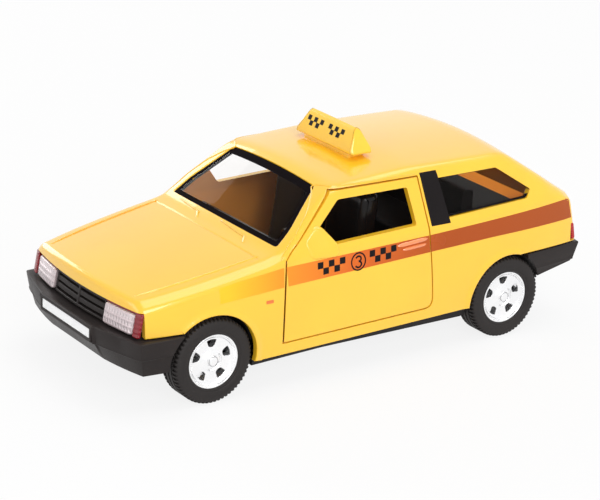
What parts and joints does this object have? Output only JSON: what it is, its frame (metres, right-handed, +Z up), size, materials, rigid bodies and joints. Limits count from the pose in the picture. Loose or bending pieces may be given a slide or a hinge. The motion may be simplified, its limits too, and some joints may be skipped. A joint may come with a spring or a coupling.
{
  "type": "toy taxi",
  "caption": "Die-cast toy hatchback taxi with opening doors, free-rolling wheels, a roof sign, a fitted cabin and a pull-back motor geared to the rear axle.",
  "frame": {"origin": "on the ground under the middle of the car's bounding box", "axes": "+X forward, towards the nose; +Y to the car's left; +Z up"},
  "size_m": [0.11, 0.0464, 0.0445],
  "materials": {
    "paint": "glossy yellow enamel on cast zinc",
    "glazing": "clear moulded plastic",
    "trim": "satin black moulded plastic",
    "steel": "drawn steel",
    "chrome": "vacuum plated",
    "tyre": "soft matt black",
    "headlamp": "clear ribbed lens",
    "indicator": "dark red lens",
    "tail_lamp": "red lens",
    "plate": "white printed card",
    "cabin": "glossy black moulding",
    "sign": "glossy yellow moulding",
    "motor_case": "moulded plastic",
    "gear": "natural moulded plastic",
    "spring": "blued spring strip"
  },
  "bodies": {
    "body": {"body_shell": "paint", "window_glazing": "glazing", "left_hinge_pin": "steel", "right_hinge_pin": "steel", "left_hinge_bracket": "trim", "right_hinge_bracket": "trim", "chassis_base": "trim", "chassis_screws": "steel", "front_bumper": "trim", "rear_bumper": "trim", "grille": "trim", "left_headlamp": "headlamp", "right_headlamp": "headlamp", "left_indicator": "indicator", "right_indicator": "indicator", "left_tail_lamp": "tail_lamp", "right_tail_lamp": "tail_lamp", "front_number_plate": "plate", "rear_number_plate": "plate", "interior_tub": "cabin", "left_front_seat": "cabin", "right_front_seat": "cabin", "rear_bench": "cabin", "dashboard": "cabin", "steering_wheel": "cabin", "roof_sign": "sign", "roof_sign_foot": "trim", "motor_case_left": "motor_case", "motor_case_right": "motor_case", "mainspring": "spring", "idler_shaft": "steel"},
    "left_door": {"left_door": "paint", "left_door_hinge": "steel"},
    "right_door": {"right_door": "paint", "right_door_hinge": "steel"},
    "front_wheels": {"front_axle": "steel", "front_left_rim": "chrome", "front_left_tyre": "tyre", "front_right_rim": "chrome", "front_right_tyre": "tyre"},
    "rear_wheels": {"rear_axle": "steel", "rear_left_rim": "chrome", "rear_left_tyre": "tyre", "rear_right_rim": "chrome", "rear_right_tyre": "tyre", "axle_gear": "gear"},
    "idler": {"idler_gear": "gear"},
    "spring": {"spring_gear": "gear"}
  },
  "joints": [
    {"name": "left_door_hinge", "type": "hinge", "parent": "body", "child": "left_door", "pos_m": [0.0244, 0.02003, 0.0162], "axis": [0, 0, -1], "range_deg": [0, 60]},
    {"name": "right_door_hinge", "type": "hinge", "parent": "body", "child": "right_door", "pos_m": [0.0244, -0.02003, 0.0162], "axis": [0, 0, 1], "range_deg": [0, 60]},
    {"name": "front_axle_spin", "type": "hinge", "parent": "body", "child": "front_wheels", "pos_m": [0.0355, 0, 0.00845], "axis": [0, 1, 0], "continuous": true},
    {"name": "rear_axle_spin", "type": "hinge", "parent": "body", "child": "rear_wheels", "pos_m": [-0.0345, 0, 0.00845], "axis": [0, 1, 0], "continuous": true},
    {"name": "idler_spin", "type": "hinge", "parent": "body", "child": "idler", "pos_m": [-0.02792, 0, 0.01138], "axis": [0, 1, 0], "continuous": true},
    {"name": "spring_gear_spin", "type": "hinge", "parent": "body", "child": "spring", "pos_m": [-0.02074, 0, 0.01088], "axis": [0, 1, 0], "continuous": true}
  ],
  "couplings": [
    {"joint": "idler_spin", "follows": "rear_axle_spin", "ratio": -0.63636},
    {"joint": "spring_gear_spin", "follows": "rear_axle_spin", "ratio": 0.24476}
  ]
}
